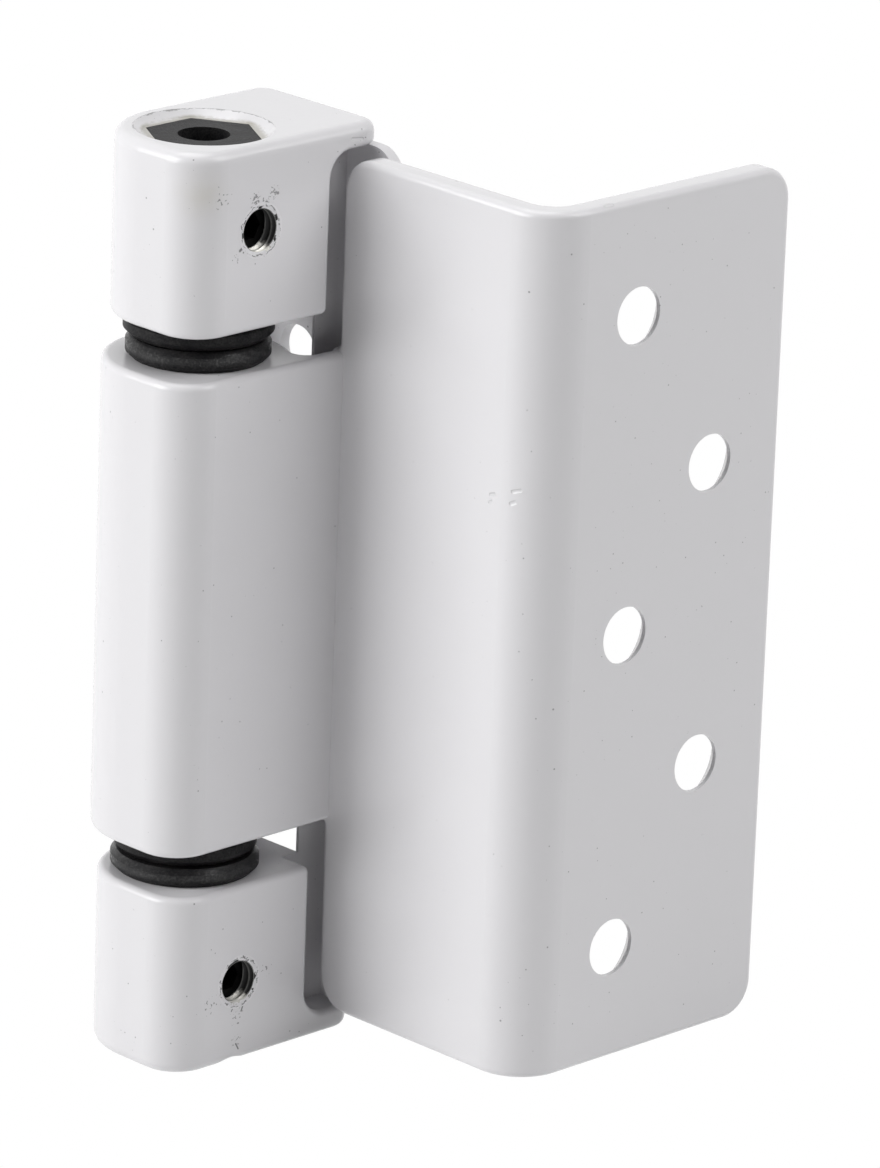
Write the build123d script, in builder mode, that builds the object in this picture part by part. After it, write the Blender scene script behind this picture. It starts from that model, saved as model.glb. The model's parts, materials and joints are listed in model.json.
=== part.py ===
from build123d import *
import os
from math import radians, sqrt, tan

# Wrap-round corner hinge for a door that overlies its frame. A cast fork with two lugs is
# screwed to the side of the frame, and an angled leaf with a long barrel turns between the
# lugs on one hidden pin. It is drawn closed: the first leg of the leaf lies along the side of
# the frame and the second leg lies across its front.
#
# Millimetres, +Z up along the pin. The origin is on the mounting face of the fork, midway
# between its two screws, and +X points into the frame.

# Heights along the pin
barrel_length = 55.0
barrel_flange = 2.4
flange_play = 0.3
fork_flange = 2.2
lug_height = 21.0
leaf_drop = 3.4

# Barrel and lugs, measured from the pin axis
front = 9.5
barrel_radius = 10.7
lug_radius = 9.8
front_corner = 4.8
lug_width = 10.6

# Fork
face_from_pin = 18.1
screw_line = 1.7
plate_thickness = 1.4
plate_reach = 13.0
tab_corner = 3.5
rib_width = 5.5
rib_front = 5.3
front_rib = 3.8
front_rib_edge = 0.4
back_rib = 2.3
notch_corner = 3.0
notch_round = 0.8
pocket_corner = 1.2
window_overlap = 1.2
back_corner = 2.5
frame_screw_spacing = 49.2
frame_screw_radius = 2.85

# Leaf
leaf_thickness = 3.25
leg_from_pin = 13.1
leg_edge = 8.65
leg_depth = 41.0
leaf_reach = 50.45
bend_radius = 6.0
leaf_corner = 4.0
wall_thickness = 2.0
throat_blend = 1.5
inner_row = 27.1
outer_row = 39.4
inner_spacing = 73.4
outer_spacing = 35.2
leaf_screw_radius = 3.3
leaf_screw_land = 0.5
leaf_screw_angle = 90.0

# Pin, bushes and set screws
pin_radius = 4.0
pin_cover = 4.6
pin_chamfer = 0.6
hex_flats = 11.6
mouth_radius = 7.8
mouth_floor_radius = 6.9
mouth_depth = 0.8
rim_notch_radius = 4.7
rim_notch_offset = 0.7
rim_notch_land = 0.15
rim_notch_depth = 0.7
fork_flange_inset = 1.4
barrel_flange_inset = 2.6
flange_rim = 0.6
bush_wall = 1.6
bush_depth = 14.0
access_radius = 2.9
set_screw_radius = 3.0
set_screw_drop = 9.6
set_screw_length = 4.0
set_screw_sink = 2.0
set_screw_point = 1.2
socket_flats = 3.0
socket_depth = 2.4
groove_floor = 3.4
groove_width = 4.0

# Clearances
running_fit = 0.05
bush_fit = 0.05
thread_fit = 0.05
leaf_gap = 0.6

# Rounded edges of the castings
outer_round = 1.3
edge_round = 0.8

# Sizes that follow from those above
barrel_half = barrel_length / 2
lug_inner = barrel_half + barrel_flange + flange_play + fork_flange
lug_outer = lug_inner + lug_height
leaf_half = lug_outer - leaf_drop
notch_half = leaf_half + leaf_gap
window_start = lug_inner - window_overlap
plate_front = face_from_pin - plate_thickness
rib_inner = face_from_pin - rib_width
pocket_front = front_rib - rib_front
pocket_back = lug_radius - back_rib
leg_back = leg_from_pin + leaf_thickness
leg_face = leaf_thickness - leg_depth
wall_back = front - wall_thickness
set_screw_level = lug_outer - set_screw_drop
bore_radius = pin_radius + running_fit
hex_bush_top = lug_outer - mouth_depth
fork_flange_radius = lug_radius - fork_flange_inset
barrel_flange_radius = barrel_radius - barrel_flange_inset
pin_end = hex_bush_top - pin_cover
pin_axis = Axis((-face_from_pin, -screw_line, 0), (0, 0, 1))
pieces = []


def level(height):
    """Horizontal plane at a height, its origin on the pin axis."""
    return Plane(origin=(-face_from_pin, -screw_line, height))


def side_plane(distance):
    """Plane across X at a distance to the right of the pin; its own x runs back and its y up."""
    return Plane(origin=(distance - face_from_pin, -screw_line, 0), x_dir=(0, 1, 0), z_dir=(1, 0, 0))


def front_plane(distance):
    """Plane across Y at a distance in front of the pin; its x runs right and its z points forward."""
    return Plane(origin=(-face_from_pin, -screw_line - distance, 0), x_dir=(1, 0, 0), z_dir=(0, -1, 0))


# Fork casting
with BuildPart() as fork_body:
    # Plan of both lugs and the back, round the pin at the left and square to the frame
    with BuildSketch(level(-lug_outer)) as plan:
        with BuildLine():
            Line((-lug_radius, -front), (-lug_radius, 0))
            CenterArc((0, 0), lug_radius, 90, 90)
            Polyline(
                (0, lug_radius),
                (face_from_pin, lug_radius),
                (face_from_pin, -front),
                (-lug_radius, -front),
            )
        make_face()
        fillet(plan.vertices().group_by(Axis.X)[0].sort_by(Axis.Y)[0], front_corner)
        fillet(plan.vertices().group_by(Axis.X)[-1], back_corner)
    extrude(amount=2 * lug_outer)
    fillet(fork_body.faces().sort_by(Axis.Z)[-1].edges(), outer_round)
    fillet(fork_body.faces().sort_by(Axis.Z)[0].edges(), outer_round)

    # Gap between the lugs for the barrel, with soft edges round each lug
    with BuildSketch(side_plane(rib_inner)):
        Rectangle(4 * lug_radius, 2 * lug_inner)
    extrude(amount=-2 * face_from_pin, mode=Mode.SUBTRACT)
    lug_ends = fork_body.edges().filter_by(lambda edge: abs(abs(edge.center().Z) - lug_inner) < edge_round)
    left_ends = lug_ends.filter_by(Axis.Y).group_by(Axis.X)[0]
    fillet(lug_ends.filter_by(Axis.Y, reverse=True) + left_ends, edge_round)

    # Notch beside the lugs, in which the first leg of the leaf lies
    with BuildSketch(front_plane(front)):
        with Locations((lug_width, 0)):
            notch = Rectangle(face_from_pin, 2 * notch_half, align=(Align.MIN, Align.CENTER))
        fillet(notch.vertices().group_by(Axis.X)[0], notch_corner)
    extrude(amount=rib_front - front, mode=Mode.SUBTRACT)
    notch_rim = fork_body.edges().filter_by(
        lambda edge: abs(edge.center().Y + screw_line + front) < thread_fit
        and edge.center().X > lug_width - face_from_pin - thread_fit
        and abs(edge.center().Z) < notch_half + thread_fit
    )
    fillet(notch_rim, notch_round)

    # Mounting plate, reaching forward behind the first leg as a rounded tab
    with BuildSketch(side_plane(plate_front)):
        with Locations((-rib_front, 0)):
            tab = Rectangle(plate_reach - rib_front, 2 * notch_half, align=(Align.MAX, Align.CENTER))
        fillet(tab.vertices().group_by(Axis.X)[0], tab_corner)
    extrude(amount=plate_thickness)

    # Recess between the two ribs, from lip to lip; the front rib narrows to a thin edge
    with BuildSketch(level(-notch_half)):
        with BuildLine():
            Polyline(
                (rib_inner, front_rib_edge - rib_front),
                (plate_front, pocket_front),
                (plate_front, pocket_back),
                (rib_inner, pocket_back),
                close=True,
            )
        make_face()
    extrude(amount=2 * notch_half, mode=Mode.SUBTRACT)

    # Core windows through the plate beside each lug
    with BuildSketch(side_plane(plate_front)):
        for side in (1, -1):
            with Locations(((pocket_front + pocket_back) / 2, side * (window_start + notch_half) / 2)):
                RectangleRounded(pocket_back - pocket_front, notch_half - window_start, pocket_corner)
    extrude(amount=plate_thickness, mode=Mode.SUBTRACT)

    # Two screw holes through the plate
    with BuildSketch(side_plane(plate_front)):
        with Locations((screw_line, frame_screw_spacing / 2), (screw_line, -frame_screw_spacing / 2)):
            Circle(frame_screw_radius)
    extrude(amount=plate_thickness, mode=Mode.SUBTRACT)

    # Hexagonal bores for the bushes, each with a round chamfered mouth
    with BuildSketch(level(-lug_outer)):
        RegularPolygon(hex_flats / 2, 6, major_radius=False)
    extrude(amount=2 * lug_outer, mode=Mode.SUBTRACT)
    for side in (1, -1):
        with BuildSketch(level(side * lug_outer)):
            Circle(mouth_radius)
        with BuildSketch(level(side * hex_bush_top)):
            Circle(mouth_floor_radius)
        loft(mode=Mode.SUBTRACT)

    # Shallow notch in the front rim of the lower mouth
    with BuildSketch(level(-lug_outer)):
        with Locations((-rim_notch_offset, rim_notch_land + rim_notch_radius - front)):
            Circle(rim_notch_radius)
    extrude(amount=rim_notch_depth, mode=Mode.SUBTRACT)

    # Tapped holes for the set screws, from the front of each lug to its bore
    with BuildSketch(front_plane(front)):
        with Locations((0, set_screw_level), (0, -set_screw_level)):
            Circle(set_screw_radius)
    extrude(amount=-front, mode=Mode.SUBTRACT)


# Leaf casting
with BuildPart() as leaf_body:
    # Section of the two legs, one thickness throughout and rounded at the bend
    with BuildSketch(level(-leaf_half)) as section:
        with BuildLine():
            Polyline(
                (leg_from_pin, -wall_back),
                (leg_from_pin, -leg_depth),
                (leaf_reach, -leg_depth),
                (leaf_reach, leg_face),
                (leg_back, leg_face),
                (leg_back, -wall_back),
                close=True,
            )
        make_face()
        fillet(section.vertices().sort_by_distance((leg_back, leg_face))[0], bend_radius - leaf_thickness)
        fillet(section.vertices().sort_by_distance((leg_from_pin, -leg_depth))[0], bend_radius)
    extrude(amount=2 * leaf_half)

    # The edge of the first leg steps forward beside the lugs, with a blend down to the barrel
    for side in (1, -1):
        with BuildSketch(side_plane(leg_from_pin)):
            with Locations((-leg_edge, side * barrel_half)):
                step = Rectangle(
                    front,
                    leaf_half,
                    align=(Align.MIN, Align.MIN if side > 0 else Align.MAX),
                )
            inner = step.vertices().group_by(Axis.X)[0].sort_by(Axis.Y)[0 if side > 0 else -1]
            fillet(inner, leg_edge - wall_back)
        extrude(amount=leaf_thickness, mode=Mode.SUBTRACT)

    # Rounded corners of both legs, then soft edges all round the sheet
    fillet(leaf_body.edges().filter_by(Axis.Y).group_by(Axis.X)[-1], leaf_corner)
    across_leg = leaf_body.edges().filter_by(Axis.X).filter_by(lambda edge: edge.length < bend_radius)
    fillet(across_leg.group_by(Axis.Z)[0] + across_leg.group_by(Axis.Z)[-1], leaf_corner)
    upright = leaf_body.edges().filter_by(Axis.Z)
    bend_lines = upright.filter_by(lambda edge: edge.length > 2 * leaf_half - edge_round)
    across = leaf_body.edges().filter_by(lambda edge: abs(edge.length - leaf_thickness) < running_fit)
    fillet(leaf_body.edges() - bend_lines - across, edge_round)

    # Barrel, its front flush with the lugs and its front wall running across to the first leg
    with BuildSketch(level(-barrel_half)) as barrel_plan:
        Circle(barrel_radius)
        with Locations((0, -front)):
            Rectangle(barrel_radius, front, align=(Align.MAX, Align.MIN))
            Rectangle(leg_back, wall_thickness, align=(Align.MIN, Align.MIN))
            Rectangle(2 * barrel_radius, front, align=(Align.CENTER, Align.MAX), mode=Mode.SUBTRACT)
        fillet(barrel_plan.vertices().group_by(Axis.X)[0].sort_by(Axis.Y)[0], front_corner)
        throat = (sqrt(barrel_radius**2 - wall_back**2), -wall_back)
        fillet(barrel_plan.vertices().sort_by_distance(throat)[0], throat_blend)
    extrude(amount=barrel_length)
    barrel_ends = leaf_body.edges().filter_by(
        lambda edge: abs(abs(edge.center().Z) - barrel_half) < bush_fit
        and edge.center().X < barrel_radius - face_from_pin
    )
    fillet(barrel_ends, edge_round)

    # Bore for the bushes
    with BuildSketch(level(-barrel_half)):
        Circle(bore_radius + bush_wall + bush_fit)
    extrude(amount=barrel_length, mode=Mode.SUBTRACT)

    # Screw holes in the second leg, countersunk from the side that faces the frame
    leg_plane = Plane(
        origin=(-face_from_pin, leg_face - screw_line, 0), x_dir=(1, 0, 0), z_dir=(0, 1, 0)
    )
    sink_radius = leaf_screw_radius + (leaf_thickness - leaf_screw_land) * tan(radians(leaf_screw_angle / 2))
    with Locations(leg_plane):
        with Locations(
            (inner_row, 0),
            (inner_row, inner_spacing / 2),
            (inner_row, -inner_spacing / 2),
            (outer_row, outer_spacing / 2),
            (outer_row, -outer_spacing / 2),
        ):
            CounterSinkHole(leaf_screw_radius, sink_radius, counter_sink_angle=leaf_screw_angle)

# Pin, grooved at both ends where the set screws bite
with BuildPart() as hinge_pin:
    with BuildSketch(front_plane(0)):
        with BuildLine():
            groove_flank = pin_radius - groove_floor
            Polyline(
                (0, -pin_end),
                (pin_radius - pin_chamfer, -pin_end),
                (pin_radius, pin_chamfer - pin_end),
                (pin_radius, -set_screw_level - groove_width / 2 - groove_flank),
                (groove_floor, -set_screw_level - groove_width / 2),
                (groove_floor, groove_width / 2 - set_screw_level),
                (pin_radius, groove_width / 2 + groove_flank - set_screw_level),
                (pin_radius, set_screw_level - groove_width / 2 - groove_flank),
                (groove_floor, set_screw_level - groove_width / 2),
                (groove_floor, set_screw_level + groove_width / 2),
                (pin_radius, set_screw_level + groove_width / 2 + groove_flank),
                (pin_radius, pin_end - pin_chamfer),
                (pin_radius - pin_chamfer, pin_end),
                (0, pin_end),
                close=True,
            )
        make_face()
    revolve(axis=pin_axis)

# Bushes of the lugs: a hexagonal body with a blind bore, and a round flange below the lug
for side, place in ((1, "upper"), (-1, "lower")):
    with BuildPart() as hex_bush:
        with BuildSketch(level(side * lug_inner)):
            RegularPolygon(hex_flats / 2 - bush_fit, 6, major_radius=False)
        extrude(amount=side * (hex_bush_top - lug_inner))
        with BuildSketch(level(side * (lug_inner - fork_flange))):
            Circle(fork_flange_radius)
        extrude(amount=side * fork_flange)
        chamfer(hex_bush.edges().filter_by(GeomType.CIRCLE), flange_rim)
        with BuildSketch(level(side * (lug_inner - fork_flange))):
            Circle(bore_radius)
        extrude(amount=side * (pin_end + running_fit - lug_inner + fork_flange), mode=Mode.SUBTRACT)
        with BuildSketch(level(side * pin_end)):
            Circle(access_radius)
        extrude(amount=side * (hex_bush_top - pin_end), mode=Mode.SUBTRACT)
        with BuildSketch(front_plane(0)):
            with Locations((0, side * set_screw_level)):
                Circle(set_screw_radius)
        extrude(amount=front, mode=Mode.SUBTRACT)
    hex_bush.part.label = f"{place}_hex_bush"
    pieces.append(hex_bush.part)

# Bushes of the barrel: a sleeve that turns on the pin, and a flange that bears on the lug's bush
for side, place in ((1, "upper"), (-1, "lower")):
    with BuildPart() as barrel_bush:
        with BuildSketch(level(side * (barrel_half - bush_depth))):
            Circle(bore_radius + bush_wall)
        extrude(amount=side * bush_depth)
        with BuildSketch(level(side * barrel_half)):
            Circle(barrel_flange_radius)
        extrude(amount=side * barrel_flange)
        chamfer(barrel_bush.edges().filter_by(GeomType.CIRCLE).group_by(SortBy.RADIUS)[-1], flange_rim)
        with BuildSketch(level(side * (barrel_half - bush_depth))):
            Circle(bore_radius)
        extrude(amount=side * (bush_depth + barrel_flange), mode=Mode.SUBTRACT)
    barrel_bush.part.label = f"{place}_barrel_bush"
    pieces.append(barrel_bush.part)

# Set screws, sunk below the face of each lug with their points in the grooves of the pin
for side, place in ((1, "upper"), (-1, "lower")):
    with BuildPart() as grub_screw:
        with BuildSketch(front_plane(front - set_screw_sink)):
            with Locations((0, side * set_screw_level)):
                Circle(set_screw_radius - thread_fit)
        extrude(amount=-set_screw_length)
        point = grub_screw.edges().filter_by(GeomType.CIRCLE).sort_by(Axis.Y)[-1]
        chamfer(point, set_screw_point)
        with BuildSketch(front_plane(front - set_screw_sink)):
            with Locations((0, side * set_screw_level)):
                RegularPolygon(socket_flats / 2, 6, major_radius=False)
        extrude(amount=-socket_depth, mode=Mode.SUBTRACT)
    grub_screw.part.label = f"{place}_grub_screw"
    pieces.append(grub_screw.part)

fork_body.part.label = "fork_body"
leaf_body.part.label = "leaf_body"
hinge_pin.part.label = "hinge_pin"
pieces += [fork_body.part, leaf_body.part, hinge_pin.part]

os.makedirs("parts", exist_ok=True)
for piece in pieces:
    export_step(piece, f"parts/{piece.label}.step")
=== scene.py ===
# %% [markdown]
# Corner hinge: a white powder-coated fork with two lugs, and an angled leaf whose long barrel
# turns between them on a hidden pin. Black nylon bushes show as two pairs of rings, and a set
# screw sits deep in a tapped hole in the front of each lug. The solids come ready made from
# the frame, in metres, so this lesson dresses them: camera, light, coats, threads and wear.

# %% Load the frame
import json
import math
from functools import reduce

import bpy
import numpy as np
from mathutils import Matrix, Vector


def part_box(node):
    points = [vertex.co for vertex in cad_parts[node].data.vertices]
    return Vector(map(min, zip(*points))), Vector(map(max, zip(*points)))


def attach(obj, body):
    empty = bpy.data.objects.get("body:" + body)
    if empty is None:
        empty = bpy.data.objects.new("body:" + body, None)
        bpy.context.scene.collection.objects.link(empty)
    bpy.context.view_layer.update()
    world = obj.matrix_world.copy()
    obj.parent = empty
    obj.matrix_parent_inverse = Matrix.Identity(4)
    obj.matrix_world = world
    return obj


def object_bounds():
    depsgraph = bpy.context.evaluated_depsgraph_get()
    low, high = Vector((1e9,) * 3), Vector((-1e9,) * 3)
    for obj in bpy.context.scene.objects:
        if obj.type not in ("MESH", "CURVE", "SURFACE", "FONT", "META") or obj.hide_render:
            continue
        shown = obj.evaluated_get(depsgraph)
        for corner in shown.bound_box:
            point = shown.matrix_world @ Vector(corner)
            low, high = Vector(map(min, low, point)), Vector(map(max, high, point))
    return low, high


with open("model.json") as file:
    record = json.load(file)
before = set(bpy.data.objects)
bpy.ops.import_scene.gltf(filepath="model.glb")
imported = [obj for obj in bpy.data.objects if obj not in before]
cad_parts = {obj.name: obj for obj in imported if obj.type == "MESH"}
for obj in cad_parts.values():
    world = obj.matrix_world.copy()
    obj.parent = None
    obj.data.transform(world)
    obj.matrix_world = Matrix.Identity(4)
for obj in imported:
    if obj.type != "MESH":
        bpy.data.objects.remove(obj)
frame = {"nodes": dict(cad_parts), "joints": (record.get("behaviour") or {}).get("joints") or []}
cad_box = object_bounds()
print("CAD box", [list(corner) for corner in cad_box])

# %% [markdown]
# Wear and threads have to land on the solids, so their places come from the frame and not from
# typed numbers. The joint gives the pin's axis, and the boxes of the nodes give the heights
# along it. The set screws stand sunk in their tapped holes, so their front ends, less that
# depth, give the front of the lugs.

# %% Places that the frame gives
MM = 0.001
SCREW_SUNK = 2.0 * MM
pin_x, pin_y, _ = frame["joints"][0]["pos_m"]
fork_low, fork_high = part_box("fork_body")
leaf_low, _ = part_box("leaf_body")
screw_low, screw_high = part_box("upper_grub_screw")
screw_level = (screw_low.z + screw_high.z) / 2
fork_front = screw_low.y - SCREW_SUNK
_, bush_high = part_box("upper_hex_bush")
print("pin axis", pin_x, pin_y, "set screws at", screw_level, "front", fork_front)

# %% [markdown]
# The photograph was taken with a long lens from the left and a little above. The camera's
# place, turn and focal length come from fitting the hinge's straight edges and round holes,
# and the lens is given for a 36 mm sensor along the long side of the frame. The small roll
# is the tilt of the hinge in the picture.

# %% Camera
CAMERA_FROM_PIN = Vector((-577.37, -623.62, 283.02)) * MM
CAMERA_YAW = math.radians(-44.655)
CAMERA_PITCH = math.radians(18.316)
CAMERA_ROLL = math.radians(2.126)
SENSOR = 36.0
LENS = 247.96
NEAREST_SEEN = 0.05
FARTHEST_SEEN = 50.0


def camera_axes(yaw, pitch, roll):
    """Right, up and backward directions of a camera that looks along yaw and down by pitch.

    Backward is (sin yaw cos pitch, -cos yaw cos pitch, sin pitch). Right is level before the
    roll, up is square to both, and the roll turns right and up together about backward.
    """
    backward = Vector(
        (
            math.sin(yaw) * math.cos(pitch),
            -math.cos(yaw) * math.cos(pitch),
            math.sin(pitch),
        )
    )
    level = Vector((0, 0, 1)).cross(backward).normalized()
    upright = backward.cross(level)
    right = level * math.cos(roll) + upright * math.sin(roll)
    up = upright * math.cos(roll) - level * math.sin(roll)
    return right, up, backward


camera_data = bpy.data.cameras.new("camera")
camera_data.sensor_width = SENSOR
camera_data.lens = LENS
camera_data.clip_start = NEAREST_SEEN
camera_data.clip_end = FARTHEST_SEEN
camera = bpy.data.objects.new("camera", camera_data)
bpy.context.scene.collection.objects.link(camera)
turn = Matrix(camera_axes(CAMERA_YAW, CAMERA_PITCH, CAMERA_ROLL)).transposed().to_4x4()
camera.matrix_world = Matrix.Translation(Vector((pin_x, pin_y, 0)) + CAMERA_FROM_PIN) @ turn
bpy.context.scene.camera = camera
print("camera at", list(camera.location))

# %% [markdown]
# Shader maths reads best as plain expressions. A small class wraps an output socket, so that
# a * b or 1 - mask adds its Math node, and one method of the tree makes every other node: its
# type, its settings, and then the values or links of its sockets. A socket is given by its
# place among the inputs, or by its identifier where it stands further down.


# %% Shader helper: fields
class Field:
    """An output socket of a node; Python's operators on it add Math nodes."""

    def __init__(self, tree, socket):
        self.tree = tree
        self.socket = socket

    def beside(self, output):
        """Another output of the same node."""
        return Field(self.tree, self.socket.node.outputs[output])

    def maths(self, operation, *others):
        """A Math node of this field and then the others."""
        return self.tree.node("ShaderNodeMath", {"operation": operation}, self, *others)

    def after(self, operation, other):
        """A Math node of the other value and then this field."""
        return self.tree.node("ShaderNodeMath", {"operation": operation}, other, self)

    def __add__(self, other):
        return self.maths("ADD", other)

    def __radd__(self, other):
        return self.after("ADD", other)

    def __sub__(self, other):
        return self.maths("SUBTRACT", other)

    def __rsub__(self, other):
        return self.after("SUBTRACT", other)

    def __mul__(self, other):
        return self.maths("MULTIPLY", other)

    def __rmul__(self, other):
        return self.after("MULTIPLY", other)

    def __truediv__(self, other):
        return self.maths("DIVIDE", other)

    def __rtruediv__(self, other):
        return self.after("DIVIDE", other)

    def __pow__(self, other):
        return self.maths("POWER", other)

    def __rpow__(self, other):
        return self.after("POWER", other)

    def __abs__(self):
        return self.maths("ABSOLUTE")

    def or_more(self, other):
        """The greater of this and the other."""
        return self.maths("MAXIMUM", other)

    def or_less(self, other):
        """The smaller of this and the other."""
        return self.maths("MINIMUM", other)

    def below(self, limit):
        """1 where this is below the limit, and 0 elsewhere."""
        return self.maths("LESS_THAN", limit)


print("reflected operators", [name for name in vars(Field) if name.startswith("__r")])


# %% Shader helper: trees and finishes
class Tree:
    """A node tree under construction, with one method that adds any node."""

    def __init__(self, owner):
        owner.use_nodes = True
        self.nodes = owner.node_tree.nodes
        self.links = owner.node_tree.links

    def set(self, socket, value):
        """Links a field to an input socket, or writes a plain value on it."""
        if isinstance(value, Field):
            self.links.new(value.socket, socket)
        else:
            socket.default_value = value

    def node(self, kind, settings, *values, output=0, **named):
        """Adds a node: its settings first, then its inputs by place or by identifier."""
        made = self.nodes.new(kind)
        for key, value in settings.items():
            setattr(made, key, value)
        for place, value in enumerate(values):
            self.set(made.inputs[place], value)
        inputs = {socket.identifier: socket for socket in made.inputs}
        for key, value in named.items():
            self.set(inputs[key], value)
        return Field(self, made.outputs[output])

    def unlit_rays(self):
        """1 for rays from the camera and for mirrored and see-through ones, 0 for all others."""
        seen = self.node("ShaderNodeLightPath", {}, output="Is Camera Ray")
        mirrored = seen.beside("Is Glossy Ray")
        return seen.or_more(mirrored).or_more(seen.beside("Is Transmission Ray"))


class Finish(Tree):
    """A material with one shader."""

    def __init__(self, name):
        self.material = bpy.data.materials.new(name)
        super().__init__(self.material)
        self.shader = self.nodes["Principled BSDF"]

    def place(self):
        """Object coordinates, in metres in the row frame."""
        return self.node("ShaderNodeTexCoord", {}, output="Object")

    def between(self, low, high, value):
        """A smooth step: 0 below low, 1 above high."""
        return self.node(
            "ShaderNodeMapRange", {"interpolation_type": "SMOOTHSTEP"}, value, low, high, 0.0, 1.0
        )

    def blend(self, factor, first, second):
        """A colour between two colours, which is the third output of a Mix node."""
        return self.node(
            "ShaderNodeMix",
            {"data_type": "RGBA"},
            output=2,
            Factor_Float=factor,
            A_Color=first,
            B_Color=second,
        )

    def shade(self, **sockets):
        """Sets or links sockets of the shader by their names, with _ for a space."""
        for key, value in sockets.items():
            self.set(self.shader.inputs[key.replace("_", " ")], value)

    def bump(self, height, strength=1.0):
        """Relief of a field of heights in millimetres, linked to the shader's normal."""
        relief = self.node("ShaderNodeBump", {}, Strength=strength, Distance=MM, Height=height)
        self.shade(Normal=relief)


def dress(node, finish):
    """Gives a CAD node its material."""
    slots = frame["nodes"][node].data.materials
    slots.clear()
    slots.append(finish.material)


print("nodes to dress", sorted(frame["nodes"]))

# %% [markdown]
# In the photograph the hinge is a cut-out on pure white with no shadow under it, so the floor
# and the backdrop are white to the camera. To every other ray the floor is plain pale grey,
# so the light that it gives back to the hinge still carries the hinge's shadow. Seen from
# below the floor is clear, so that the underside can be looked at too.

# %% Floor
FLOOR_DROP = 2 * MM
FLOOR_HALF = 3.0
FLOOR_GREY = (0.8, 0.8, 0.8, 1)
floor_level = min(fork_low.z, leaf_low.z) - FLOOR_DROP


def white_to_camera(name, grey):
    """A floor: the camera, and what glossy or clear things mirror, see plain white.

    From behind it is clear.
    """
    finish = Finish(name)
    glow = finish.node("ShaderNodeEmission", {}, Strength=1.0)
    lit = Field(finish, finish.shader.outputs["BSDF"])
    front = finish.node("ShaderNodeMixShader", {}, finish.unlit_rays(), lit, glow)
    behind = finish.node("ShaderNodeNewGeometry", {}, output="Backfacing")
    clear = finish.node("ShaderNodeBsdfTransparent", {})
    both = finish.node("ShaderNodeMixShader", {}, behind, front, clear)
    finish.set(finish.nodes["Material Output"].inputs["Surface"], both)
    finish.shade(Base_Color=grey, Roughness=0.9)
    return finish


def plane_mesh(name, half, height):
    """A level square of the given half width."""
    mesh = bpy.data.meshes.new(name)
    low, high = -half, half
    corners = [(low, low, height), (high, low, height), (high, high, height), (low, high, height)]
    mesh.from_pydata(corners, [], [(0, 1, 2, 3)])
    made = bpy.data.objects.new(name, mesh)
    bpy.context.scene.collection.objects.link(made)
    return made


floor = plane_mesh("floor", FLOOR_HALF, floor_level)
floor.data.materials.append(white_to_camera("floor white", FLOOR_GREY).material)
print("floor at", floor_level)

# %% Backdrop
WORLD_LIGHT = 0.02
WHITE = (1, 1, 1, 1)
world = bpy.data.worlds.new("studio")
bpy.context.scene.world = world
studio = Tree(world)
sky = studio.nodes["Background"]
unlit = studio.unlit_rays()
studio.set(sky.inputs["Color"], WHITE)
studio.set(sky.inputs["Strength"], unlit + (1 - unlit) * WORLD_LIGHT)
print("light of the world", WORLD_LIGHT)

# %% [markdown]
# Three soft lights shape the hinge. One stands to the left and a little behind, so that it
# falls on the left faces and leaves the root of the first leg in the barrel's shade. The
# second stands high at the front right, and the first leg shades the lugs from it. The third,
# overhead, lights the top faces, and the dim white world fills the rest. Their directions and
# powers were weighed against the photograph's levels on each face.

# %% Lamps
LAMP_DISTANCE = 0.9
LAMP_WIDTH = 0.6
# Name, azimuth about Z counted from +X and elevation, both in degrees, and watts
LAMPS = [
    ("left softbox", 153, 20, 6.3),
    ("right softbox", -62, 42, 4.2),
    ("top softbox", 100, 80, 3.1),
]
bpy.context.scene.view_settings.view_transform = "Standard"
middle = (cad_box[0] + cad_box[1]) / 2


def softbox(name, azimuth, elevation, power):
    """A square area lamp that faces the hinge from an azimuth and an elevation."""
    data = bpy.data.lights.new(name, "AREA")
    data.shape = "SQUARE"
    data.size = LAMP_WIDTH
    data.energy = power
    away = Vector(
        (
            math.cos(elevation) * math.cos(azimuth),
            math.cos(elevation) * math.sin(azimuth),
            math.sin(elevation),
        )
    )
    lamp = bpy.data.objects.new(name, data)
    lamp.location = middle + LAMP_DISTANCE * away
    lamp.rotation_mode = "QUATERNION"
    lamp.rotation_quaternion = away.to_track_quat("Z", "Y")
    bpy.context.scene.collection.objects.link(lamp)
    print(name, [round(value, 2) for value in lamp.location])


for name, azimuth, elevation, power in LAMPS:
    softbox(name, math.radians(azimuth), math.radians(elevation), power)

# %% [markdown]
# Both castings wear the same glossy white powder coat. Up close it has three scales: a faint
# waviness from the casting under it, the orange peel of the melted powder, and small dark
# flecks and chips where it was scratched or didn't flow. A painted image would need unwrapped
# faces and would blur close up. Here all of these follow from where a point lies, so the first
# helpers give places on the hinge and distances from them.

# %% Powder coat: places and distances
pin_line = Vector((pin_x, pin_y, 0))


def from_pin(right, back, up):
    """A point, in metres, from its millimetres to the right of, behind and along the pin."""
    return pin_line + Vector((right, back, up)) * MM


def vector(finish, operation, *values, output=0, **named):
    """A Vector Math node."""
    settings = {"operation": operation}
    return finish.node("ShaderNodeVectorMath", settings, *values, output=output, **named)


def distance_to(finish, place, point):
    """Distance from a point, in metres."""
    return vector(finish, "DISTANCE", place, tuple(point), output="Value")


def parts_of(finish, place):
    """The three coordinates of a place as separate fields."""
    across = finish.node("ShaderNodeSeparateXYZ", {}, place)
    return across, across.beside("Y"), across.beside("Z")


print("pin line through", list(pin_line))

# %% [markdown]
# A fleck is the dot at the middle of a Voronoi cell. A field of chips is noise above a
# threshold, and round patches lower that threshold where the photograph shows wear. A scratch
# is a stroke: everything that lies near the line between two points.

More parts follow.
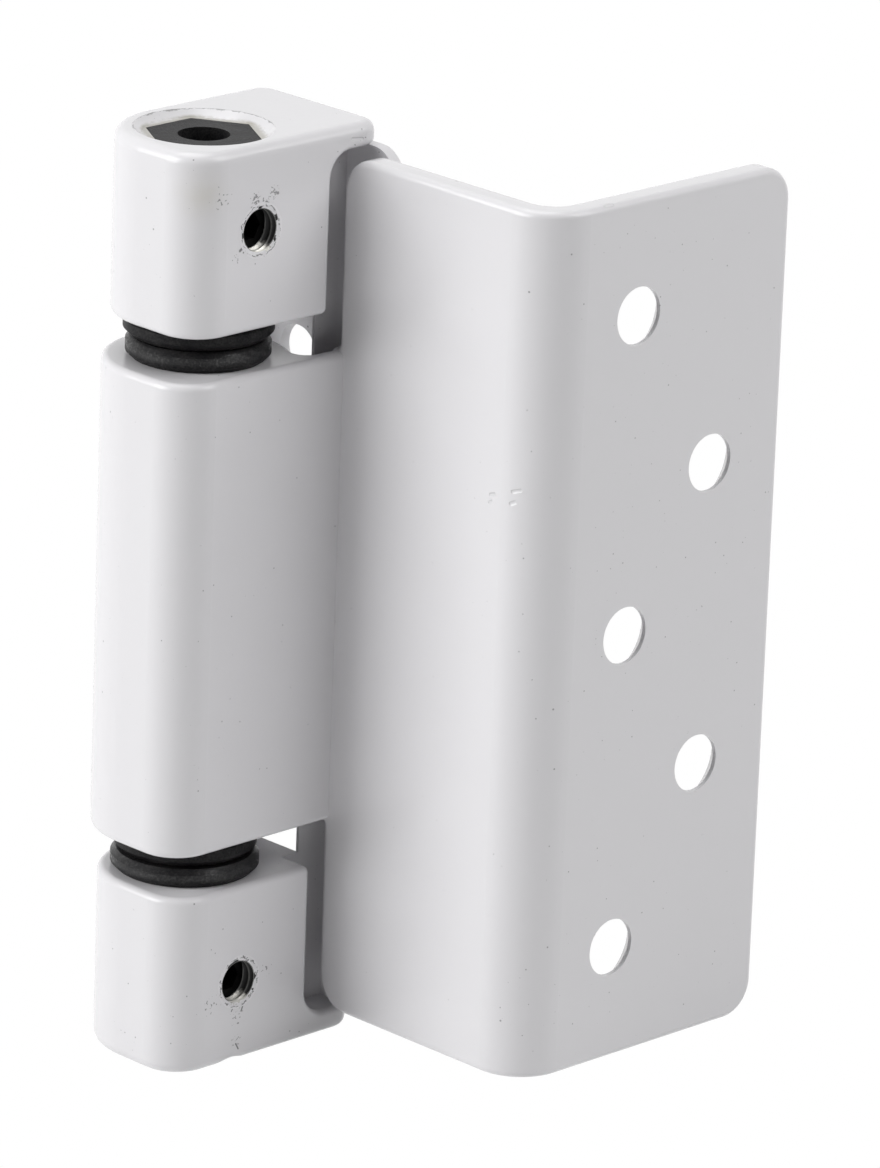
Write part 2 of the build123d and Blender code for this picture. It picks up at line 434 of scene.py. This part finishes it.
# %% Powder coat: noise, flecks, patches and strokes
SMALLEST_FLECK = 0.3
FLECK_EDGE = 0.6


def noise(finish, place, size, detail=3.0):
    """Smooth noise about 0.5 whose features are about the given size, in metres."""
    return finish.node(
        "ShaderNodeTexNoise", {}, output="Fac", Vector=place, Scale=1 / size, Detail=detail
    )


def flecks(finish, place, spacing, radius, share):
    """Round dots, one in each Voronoi cell whose random number is below the share.

    A cell's dot has the given radius at most, scaled by a second random number.
    """
    distance = finish.node("ShaderNodeTexVoronoi", {}, Vector=place, Scale=1 / spacing)
    chance = finish.node("ShaderNodeSeparateColor", {}, distance.beside("Color"))
    girth = chance.beside("Green")
    reach = (girth * (1 - SMALLEST_FLECK) + SMALLEST_FLECK) * (radius / spacing)
    inside = 1 - finish.between(FLECK_EDGE, 1.0, distance / reach)
    return inside * chance.below(share)


def patch(finish, place, point, radius):
    """1 at a point, falling smoothly to 0 at the given radius, in metres."""
    return 1 - finish.between(0.0, radius, distance_to(finish, place, point))


def stroke(finish, place, start, end, width):
    """A scratch from start to end: 1 near that line, and 0 past three quarters of the width.

    The nearest point of the line is start + share * along, where share is the dot product of
    the offset from start and along, over the length of along squared, kept within 0 and 1.
    """
    along = end - start
    offset = vector(finish, "SUBTRACT", place, tuple(start))
    dot = vector(finish, "DOT_PRODUCT", offset, tuple(along), output="Value")
    share = (dot * (1 / along.length_squared)).or_less(1.0).or_more(0.0)
    foot = vector(finish, "SCALE", tuple(along), Scale=share)
    gap = vector(finish, "DISTANCE", offset, foot, output="Value")
    return 1 - finish.between(0.25 * width, 0.75 * width, gap)


print("a fleck's radius is", SMALLEST_FLECK, "to 1 of the greatest")

# %% [markdown]
# The photograph shows the coat chipped above the upper set screw hole, below the lower one and
# at a few lone places, scratched beside some of them, and nicked by knocks, most of all on the
# bend of the leaf. Noise alone would put such wear anywhere, so each place is read off the
# photograph and given in millimetres to the right of, behind and along the pin. A patch has
# its radius and strength, and a scratch or a nick its width.

# %% Powder coat: places of the wear
WORN_PATCHES = [
    (from_pin(-0.9, -9.5, 47.3), 1.5, 1.0),
    (from_pin(0.7, -9.5, 46.8), 1.4, 1.0),
    (from_pin(1.9, -9.5, 47.7), 1.7, 0.9),
    (from_pin(-3.4, -9.5, 41.3), 1.3, 0.6),
    (from_pin(-5.6, -9.5, 48.2), 2.2, 0.55),
    (from_pin(-4.4, -9.5, -45.7), 2.6, 0.6),
    (from_pin(0.0, -9.5, -47.8), 2.4, 0.6),
    (from_pin(0.0, -9.5, -50.6), 1.8, 0.55),
    (from_pin(4.2, -9.5, -43.4), 2.0, 0.5),
    (from_pin(15.0, -9.5, 52.0), 1.6, 0.55),
    (from_pin(12.6, -7.3, -32.0), 2.0, 0.6),
    (from_pin(-9.4, -6.7, 27.3), 1.0, 0.6),
    (from_pin(-9.2, -7.0, 24.2), 1.6, 0.45),
    (from_pin(14.9, -40.9, 14.1), 0.6, 0.9),
]
SCRATCHES = [
    (from_pin(-2.3, -9.5, 42.5), from_pin(-3.0, -9.5, 42.0), 0.32),
    (from_pin(-2.2, -9.5, 42.0), from_pin(-2.5, -9.5, 41.7), 0.16),
    (from_pin(-0.6, -9.5, -46.5), from_pin(-1.0, -9.5, -47.1), 0.16),
    (from_pin(0.7, -9.5, -46.9), from_pin(0.5, -9.5, -47.4), 0.20),
    (from_pin(-0.2, -9.5, -51.2), from_pin(0.2, -9.5, -51.9), 0.18),
    (from_pin(13.8, -9.5, 51.2), from_pin(14.3, -9.5, 50.7), 0.14),
    (from_pin(12.5, -5.6, -49.6), from_pin(12.7, -5.6, -49.7), 0.26),
    (from_pin(14.5, -40.9, 14.2), from_pin(14.7, -40.9, 14.0), 0.30),
]
NICKS = [
    (from_pin(13.32, -36.50, 18.2), from_pin(13.63, -37.36, 18.5), 0.36),
    (from_pin(13.27, -36.33, 16.8), from_pin(13.41, -36.81, 17.05), 0.40),
    (from_pin(13.1, -33.3, 17.1), from_pin(13.1, -33.9, 17.3), 0.30),
    (from_pin(13.1, -33.2, 16.2), from_pin(13.1, -33.5, 16.4), 0.26),
    (from_pin(21.6, -40.6, 49.9), from_pin(22.6, -40.6, 49.9), 0.40),
    (from_pin(13.4, -9.5, 51.9), from_pin(14.9, -9.5, 51.7), 0.30),
]
STAIN_AT = from_pin(-7.9, -8.4, 48.9)
STAIN_REACH = 4.2 * MM
print("worn patches", len(WORN_PATCHES), "scratches", len(SCRATCHES), "nicks", len(NICKS))

# %% [markdown]
# Some wear follows a shape and not a place. The coat has split in a ragged line round each
# tapped hole and cracked behind the mouth on top of the upper lug, and a brown line is painted on
# the floor of that mouth against the hexagonal bush: partly dirt, partly painted shade in that
# corner. A distance from each of these shapes is worked out from the coordinates, and each mark
# is a band of that distance.

# %% Powder coat: distances from the holes, the pin and the hexagon
THREAD_CREST = 2.38 * MM
RIM_BEVEL = 0.5 * MM
RIM_BEVEL_DEPTH = 0.15 * MM
MOUTH_RADIUS = 7.8 * MM
HALF_FLATS = 5.8 * MM
SLANT = math.radians(30)


def hole_radius(finish, place):
    """Distance from the axis of the nearer tapped hole; the lower hole mirrors the upper."""
    across, _, height = parts_of(finish, place)
    off_axis = across - pin_x
    off_level = abs(height) - screw_level
    return (off_axis * off_axis + off_level * off_level) ** 0.5


def beside_pin(finish, place):
    """Distances to the right of the pin's axis and behind it, with their signs."""
    across, back, _ = parts_of(finish, place)
    return across - pin_x, back - pin_y


def pin_radius(finish, place):
    """Distance from the pin's axis."""
    right, behind = beside_pin(finish, place)
    return (right * right + behind * behind) ** 0.5


def hexagon_gap(finish, place):
    """Distance outside the bush's hexagon, whose corners point along X; below 0 inside.

    It is the greatest of |y|, |x cos 30 + y sin 30| and |x cos 30 - y sin 30|, less half of
    the width across the flats.
    """
    right, behind = beside_pin(finish, place)
    along = right * math.cos(SLANT)
    aside = behind * math.sin(SLANT)
    flat = abs(behind)
    for slant in (along + aside, along - aside):
        flat = flat.or_more(abs(slant))
    return flat - HALF_FLATS


print("hole rims at", THREAD_CREST + RIM_BEVEL, "mouth at", MOUTH_RADIUS)

# %% Powder coat: the crack round the tapped holes
CRACK_WANDER = 0.9 * MM
CRACK_LINE = (0.03 * MM, 0.10 * MM)
CRACK_FRONT = (0.3 * MM, 0.4 * MM)
CRACK_BREAKS = (0.47, 0.54)


def rim_crack(finish, place):
    """The ragged dark line round a tapped hole, where the coat of its bevel has split.

    It is a band about the bevel's edge that noise moves in and out, on the front alone, and
    a second noise breaks it.
    """
    ragged = noise(finish, place, 0.55 * MM)
    gap = hole_radius(finish, place) - (THREAD_CREST + RIM_BEVEL) - (ragged - 0.5) * CRACK_WANDER
    line = 1 - finish.between(*CRACK_LINE, abs(gap))
    _, back, _ = parts_of(finish, place)
    on_front = 1 - finish.between(*CRACK_FRONT, back - fork_front)
    breaks = noise(finish, place, 0.8 * MM, 2.0)
    return line * on_front * finish.between(*CRACK_BREAKS, breaks)


print("crack's line", CRACK_LINE)

# %% [markdown]
# One mask gathers all dark wear, so that the coat's colour and its roughness agree on it: the
# greatest of the scattered flecks, the chips, the scratches and the two cracks. The mouth's dirt
# with its painted corner shade, and a faint tan stain, have masks of their own, because they have
# their own colours.

# %% Powder coat: chips, scratches and the crack round the holes
FLECK_SPACING = 1.5 * MM
FLECK_RADIUS = 0.16 * MM
FLECK_SHARE = 0.5
FLECK_WEIGHT = 0.7
CHIP_WEIGHT = 0.8
CHIP_SIZE = 0.36 * MM
CHIP_LEVEL = 0.74
PATCH_LOWERS = 0.31
CHIP_EDGE = 0.05
coat = Finish("white powder coat")
place = coat.place()
wobble = noise(coat, place, 0.5 * MM)
worn = reduce(
    Field.or_more,
    [patch(coat, place, at, radius * MM) * strength for at, radius, strength in WORN_PATCHES],
)
over_level = noise(coat, place, CHIP_SIZE) + worn * PATCH_LOWERS - CHIP_LEVEL
chips = coat.between(0.0, CHIP_EDGE, over_level)
wear = flecks(coat, place, FLECK_SPACING, FLECK_RADIUS, FLECK_SHARE) * FLECK_WEIGHT
wear = wear.or_more(chips * CHIP_WEIGHT).or_more(rim_crack(coat, place) * CHIP_WEIGHT)
for start, end, width in SCRATCHES:
    wear = wear.or_more(stroke(coat, place, start, end, width * MM))
print("nodes of the wear", len(coat.nodes))

# %% Powder coat: the crack behind the mouth
MOUTH_LINE = 0.22 * MM
MOUTH_BREAKS = (0.42, 0.72)
MOUTH_WANDER = 0.5 * MM
MOUTH_WEIGHT = 0.75
TOP_FACE = (fork_high.z - 0.30 * MM, fork_high.z - 0.15 * MM)
BEHIND_PIN = (-1.5 * MM, 1.5 * MM)
CRACK_LEAN = 0.6
right, behind = beside_pin(coat, place)
_, _, height = parts_of(coat, place)
# Noise moves the line in and out and gives it a width that falls to almost none
mouth_gap = pin_radius(coat, place) - MOUTH_RADIUS - (wobble - 0.5) * MOUTH_WANDER
line_width = coat.between(*MOUTH_BREAKS, noise(coat, place, 1.6 * MM)) * MOUTH_LINE
crack = 1 - coat.between(0.01 * MM, line_width + 0.02 * MM, abs(mouth_gap))
behind_pin = coat.between(*BEHIND_PIN, behind + right * CRACK_LEAN)
on_top = coat.between(*TOP_FACE, height)
wear = wear.or_more(crack * behind_pin * on_top * MOUTH_WEIGHT)
print("the top face starts between", TOP_FACE)

# %% Powder coat: dirt and painted corner shade in the mouth, and the stain beside it
# Dirt and painted shade: a brown band in the corner at the foot of the mouth's wall, against the
# bush
DIRT_AND_SHADE_REACH = (0.3 * MM, 1.3 * MM)
DIRT_AND_SHADE_WANDER = 0.7 * MM
MOUTH_FLOOR = (bush_high.z + 0.05 * MM, bush_high.z + 0.35 * MM)
BUSH_TOP = (bush_high.z - 0.2 * MM, bush_high.z - 0.1 * MM)
mouth_dirt_and_shade = 1 - coat.between(*DIRT_AND_SHADE_REACH, hexagon_gap(coat, place) + (wobble - 0.5) * DIRT_AND_SHADE_WANDER)
in_mouth = 1 - coat.between(*MOUTH_FLOOR, height)
above_bush = coat.between(*BUSH_TOP, height)
stain = patch(coat, place, STAIN_AT, STAIN_REACH) * noise(coat, place, 2.5 * MM)
print("dirt about the level", bush_high.z)

# %% Powder coat: colour, roughness and relief
COAT_WHITE = (0.807, 0.799, 0.817, 1)
FLECK_DARK = (0.10, 0.10, 0.10, 1)
STAIN_TAN = (0.62, 0.58, 0.46, 1)
# Brown of the dirt in the mouth, which also stands for painted shade in its corner
DIRT_AND_SHADE_BROWN = (0.34, 0.32, 0.25, 1)
STAIN_WEIGHT = 0.4
DIRT_AND_SHADE_WEIGHT = 0.7
WEAR_WEIGHT = 0.85
PEEL_SIZE = 0.9 * MM
PEEL_HEIGHT = 0.010
WAVE_SIZE = 9 * MM
WAVE_HEIGHT = 0.10
NICK_DEPTH = 0.18
RELIEF_STRENGTH = 0.6
colour = coat.blend(stain * STAIN_WEIGHT, COAT_WHITE, STAIN_TAN)
# The mouth's dirt and painted corner shade, in brown
colour = coat.blend(mouth_dirt_and_shade * in_mouth * above_bush * DIRT_AND_SHADE_WEIGHT, colour, DIRT_AND_SHADE_BROWN)
colour = coat.blend(wear * WEAR_WEIGHT, colour, FLECK_DARK)
coat.shade(Base_Color=colour, Roughness=0.22 + wear * 0.4 + (wobble - 0.5) * 0.06)
peel = noise(coat, place, PEEL_SIZE, 1.5)
waves = noise(coat, place, WAVE_SIZE, 1.0)
relief = peel * PEEL_HEIGHT + waves * WAVE_HEIGHT
for start, end, width in NICKS:
    relief = relief - stroke(coat, place, start, end, width * MM) * NICK_DEPTH
coat.bump(relief, RELIEF_STRENGTH)
for node in ("fork_body", "leaf_body"):
    dress(node, coat)
print("powder coat nodes", len(coat.nodes))

# %% [markdown]
# The bushes are black nylon. The moulded skin is matt, with a fine grain whose tips are rubbed
# shiny, so the rings catch a speckled light on the shoulder that faces the left softbox. The
# rubbed tips are a thin glossy layer whose weight follows the grain. The shoulders of the two
# rings that face up are rounder than the solids' chamfers. The solids stay as they are, so that
# last softness, from each chamfer's foot down the side, is relief in the skin.

# %% Black nylon: grain and rubbed tips
NYLON_DARK = (0.004, 0.004, 0.005, 1)
NYLON_GREY = (0.026, 0.025, 0.025, 1)
SKIN_BAND = (0.35, 0.75)
RUBBED_BAND = (0.52, 0.66)
nylon = Finish("black nylon")
place = nylon.place()
grain = noise(nylon, place, 0.22 * MM)
mottle = noise(nylon, place, 1.6 * MM, 4.0)
skin = nylon.between(*SKIN_BAND, grain * 0.5 + mottle * 0.5)
rubbed = nylon.between(*RUBBED_BAND, grain)
nylon.shade(
    Base_Color=nylon.blend(skin, NYLON_DARK, NYLON_GREY),
    Roughness=0.36 + mottle * 0.2,
    Specular_IOR_Level=0.12,
    Coat_Roughness=0.25,
)
print("nylon skin nodes", len(nylon.nodes))

# %% Black nylon: shoulders of the rings
RING_FROM = 7.6 * MM
RING_CHAMFER = 0.6 * MM
SHOULDER_HEIGHT = 1.1 * MM
SHOULDER_DEPTH = 0.50
BUSHES = ("upper_hex_bush", "lower_hex_bush", "upper_barrel_bush", "lower_barrel_bush")
_, _, height = parts_of(nylon, place)


def shoulder_below(top):
    """Bend and sheen of the shoulder of a ring that faces up, whose top is at a height.

    The bend rises from 0, a shoulder's height below the chamfer's foot, to 1 at the foot. The
    sheen rises there too, and ends just above the ring.
    """
    foot = top - RING_CHAMFER
    rise = 1 - (foot - height) / SHOULDER_HEIGHT
    bend = rise.or_more(0.0) * height.below(foot)
    sheen = nylon.between(foot - SHOULDER_HEIGHT, foot - 0.4 * MM, height)
    return bend, sheen * height.below(top + 0.1 * MM)


barrel_bend, barrel_sheen = shoulder_below(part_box("upper_barrel_bush")[1].z)
lug_bend, lug_sheen = shoulder_below(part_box("lower_hex_bush")[1].z)
outer = nylon.between(RING_FROM, RING_FROM + 0.2 * MM, pin_radius(nylon, place))
bend = barrel_bend.or_more(lug_bend)
gloss = barrel_sheen.or_more(lug_sheen) * outer * (0.3 + rubbed * 0.7)
nylon.shade(Coat_Weight=rubbed * 0.10 + gloss)
nylon.bump(grain * 0.05 + mottle * 0.04 - bend * bend * outer * SHOULDER_DEPTH)
for node in BUSHES:
    dress(node, nylon)
print("nylon on", BUSHES)

# %% [markdown]
# The pin is turned steel, with the fine rings that the tool leaves across its length. They are
# far finer than the triangles of the solid, so they are noise that varies along the pin alone,
# in the colour, the gloss and the relief.

# %% Turned steel
RINGS_PER_METRE = 4000.0
STEEL_DARK = (0.42, 0.42, 0.43, 1)
STEEL_LIGHT = (0.60, 0.60, 0.61, 1)
steel = Finish("turned steel")
_, _, height = parts_of(steel, steel.place())
along_pin = height * RINGS_PER_METRE
rings = steel.node("ShaderNodeTexNoise", {"noise_dimensions": "1D"}, output="Fac", W=along_pin)
steel.shade(
    Base_Color=steel.blend(rings, STEEL_DARK, STEEL_LIGHT),
    Metallic=1.0,
    Roughness=0.22 + rings * 0.15,
)
steel.bump(rings * 0.01)
dress("hinge_pin", steel)
print("turned steel on the pin")

# %% [markdown]
# The set screws are steel blackened with an oxide: nearly black, with a weak metal gloss and
# a faint mottle where the blacking took unevenly. A metal mirrors what is round it in its own
# colour, so a nearly black base is enough to keep the gloss weak, and noise mottles it.

# %% Black oxide
OXIDE_DARK = (0.004, 0.004, 0.004, 1)
OXIDE_GREY = (0.014, 0.014, 0.014, 1)
oxide = Finish("black oxide steel")
mottle = noise(oxide, oxide.place(), 0.5 * MM)
oxide.shade(
    Base_Color=oxide.blend(mottle, OXIDE_DARK, OXIDE_GREY),
    Metallic=0.7,
    Specular_IOR_Level=0.2,
    Roughness=0.38 + mottle * 0.2,
)
oxide.bump(mottle * 0.02)
for node in ("upper_grub_screw", "lower_grub_screw"):
    dress(node, oxide)
print("black oxide on the set screws")

# %% [markdown]
# The two set screw holes are tapped M6 with a pitch of 1 mm. The CAD bore is plain at the
# thread's outer radius, so a thin threaded lining stands in each mouth, from the face down to
# the sunk screw: a profile along the hole's axis is carried round it, and the V of the thread
# is a wave of depth minus turn, with a shallow bevel in front of it. A Screw modifier could
# wind the same V, but would leave its ends open, and this grid closes on itself. Its outer wall
# lies inside the metal of the lug, where it doesn't show, and its front ring carries on the
# coat's surface.

# %% Threads: a closed grid of points
TURN_STEPS = 144
THREAD_STEPS = 44


def closed_grid(name, points):
    """A mesh from a grid of points that closes on itself in both directions."""
    rows, columns, _ = points.shape
    corner = np.arange(rows * columns).reshape(rows, columns)
    below = np.roll(corner, -1, axis=0)
    beside = np.roll(corner, -1, axis=1)
    across_both = np.roll(below, -1, axis=1)
    faces = np.stack([corner, beside, across_both, below], axis=-1).reshape(-1, 4)
    mesh = bpy.data.meshes.new(name)
    mesh.from_pydata(points.reshape(-1, 3).tolist(), [], faces.tolist())
    made = bpy.data.objects.new(name, mesh)
    bpy.context.scene.collection.objects.link(made)
    return made


def signed_volume(mesh):
    """Sum of the tetrahedra from the origin to each triangle: positive when faces point out."""
    mesh.calc_loop_triangles()
    corners = np.empty(len(mesh.loop_triangles) * 3, dtype=np.int32)
    mesh.loop_triangles.foreach_get("vertices", corners)
    spots = np.empty(len(mesh.vertices) * 3)
    mesh.vertices.foreach_get("co", spots)
    a, b, c = spots.reshape(-1, 3)[corners.reshape(-1, 3)].transpose(1, 0, 2)
    return float(np.einsum("ij,ij->i", a, np.cross(b, c)).sum() / 6)


print("steps round the hole", TURN_STEPS, "and along the thread", THREAD_STEPS)

# %% Threads: the lining of a tapped hole
THREAD_PITCH = 1.0 * MM
THREAD_ROOT = 2.97 * MM
LINING_OUTER = 3.15 * MM
LINING_DEPTH = SCREW_SUNK - 0.06 * MM
LINING_PROUD = 0.006 * MM


def threaded_lining(name, level):
    """A closed ring round the line x = pin x, z = level, with a thread on its inner side.

    The profile is a loop of (depth, radius) points. Where it lies on the thread, the radius
    is crest + (root - crest) * v. The wave 1 - |1 - 2 frac(depth / pitch - turn)| rises and
    falls once in each pitch, and v is 1.25 times it less 0.15, kept within 0 and 1, so that
    crests and roots are flat. Over the last 0.3 of a pitch before the bevel v fades to 0. The
    loop runs out along the thread, so faces point outwards.
    """
    turn = np.arange(TURN_STEPS) / TURN_STEPS
    depth = np.linspace(LINING_DEPTH, RIM_BEVEL_DEPTH, THREAD_STEPS)
    phase = np.mod(depth[None, :] / THREAD_PITCH - turn[:, None], 1.0)
    wave = 1 - np.abs(1 - 2 * phase)
    flattened = np.clip(1.25 * wave - 0.15, 0.0, 1.0)
    end = np.minimum(1.0, (depth - RIM_BEVEL_DEPTH) / (0.3 * THREAD_PITCH))[None, :]
    inner = THREAD_CREST + (THREAD_ROOT - THREAD_CREST) * flattened * end
    rim_depth = np.array([-LINING_PROUD, -LINING_PROUD, LINING_DEPTH])
    rim_radius = np.array([THREAD_CREST + RIM_BEVEL, LINING_OUTER, LINING_OUTER])
    radius = np.concatenate([inner, np.broadcast_to(rim_radius, (TURN_STEPS, 3))], axis=1)
    reach = np.broadcast_to(np.concatenate([depth, rim_depth]), radius.shape)
    angle = 2 * np.pi * turn[:, None]
    points = np.stack(
        [
            pin_x + radius * np.cos(angle),
            fork_front + reach,
            level + radius * np.sin(angle),
        ],
        axis=-1,
    )
    return closed_grid(name, points)


linings = [
    threaded_lining(name, level)
    for name, level in (("upper_thread", screw_level), ("lower_thread", -screw_level))
]
for lining in linings:
    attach(lining, "fork")
    print(lining.name, len(lining.data.polygons), "faces, volume", signed_volume(lining.data))

# %% [markdown]
# The thread is bare. The screw's blacking and old oil make it dark, and its crests are lighter
# grey. At the foot of each hole, where the light from above reaches, a bright metal grey is
# painted: partly clean bare metal and partly a painted highlight of that light. The bevel and
# the front ring keep the white coat, with the same ragged crack. Metal and coat meet in a ragged
# line that follows no edge of the mesh, so one material carries both.

# %% Threads: lighter crests, bare metal with a painted highlight at the foot, and what is left of the coat
BLACKED = (0.014, 0.014, 0.014, 1)
CREST_GREY = (0.20, 0.20, 0.19, 1)
# Bright grey of the hole's foot: bare metal and a painted highlight of the light from above
BARE_METAL_AND_HIGHLIGHT = (0.60, 0.59, 0.55, 1)
CREST_WEIGHT = 0.6
BARE_METAL_AND_HIGHLIGHT_WEIGHT = 0.9
CRACK_WEIGHT = 0.8
CREST_BAND = (THREAD_CREST + 0.02 * MM, THREAD_CREST + 0.16 * MM)
COAT_BAND = (THREAD_CREST + 0.05 * MM, THREAD_CREST + 0.12 * MM)
BEVEL_EDGE = (2.7 * MM, 2.8 * MM)
BEVEL_FOOT = (0.16 * MM, 0.22 * MM)
HIGHLIGHT_FOOT_BAND = (-2.35 * MM, -1.75 * MM)
COAT_BREAKS = (0.53, 0.58)
UPPER_HOLE_SPARED = 0.02
GRIT_WANDER = 0.1 * MM
HIGHLIGHT_FOOT_WANDER = 0.9 * MM
thread = Finish("bare thread")
place = thread.place()
_, back, height = parts_of(thread, place)
side = height.maths("SIGN")
off_level = (abs(height) - screw_level) * side
grit = noise(thread, place, 0.35 * MM)
ragged_radius = hole_radius(thread, place) + (grit - 0.5) * GRIT_WANDER
ragged_depth = back - fork_front + (grit - 0.5) * GRIT_WANDER
# Lighter grey on the crests of the thread
crest = 1 - thread.between(*CREST_BAND, ragged_radius)
# The foot of the hole, painted bright: bare metal, and a painted highlight where light from above
# falls
foot = 1 - thread.between(*HIGHLIGHT_FOOT_BAND, off_level + (grit - 0.5) * HIGHLIGHT_FOOT_WANDER)
shallow = 1 - thread.between(*BEVEL_FOOT, ragged_depth)
on_bevel = 1 - thread.between(*BEVEL_EDGE, ragged_radius)
breaks = noise(thread, place, 1.1 * MM) - side * UPPER_HOLE_SPARED
chipped = thread.between(*COAT_BREAKS, breaks)
coated = thread.between(*COAT_BAND, ragged_radius) * shallow * (1 - chipped * on_bevel)
print("thread nodes", len(thread.nodes))

# %% Threads: the finish
# Crests lighter grey; the foot painted bright, partly bare metal and partly painted highlight
metal = thread.blend(crest * CREST_WEIGHT, BLACKED, CREST_GREY)
metal = thread.blend(foot * BARE_METAL_AND_HIGHLIGHT_WEIGHT, metal, BARE_METAL_AND_HIGHLIGHT)
crack = rim_crack(thread, place) * CRACK_WEIGHT
cracked_coat = thread.blend(crack, COAT_WHITE, FLECK_DARK)
thread.shade(
    Base_Color=thread.blend(coated, metal, cracked_coat),
    Metallic=(1 - coated) * (0.35 + foot * 0.5),
    Roughness=0.42 - coated * 0.18 + grit * 0.1,
)
thread.bump(grit * 0.03, RELIEF_STRENGTH)
for lining in linings:
    lining.data.materials.append(thread.material)
print("bare thread on", [lining.name for lining in linings])
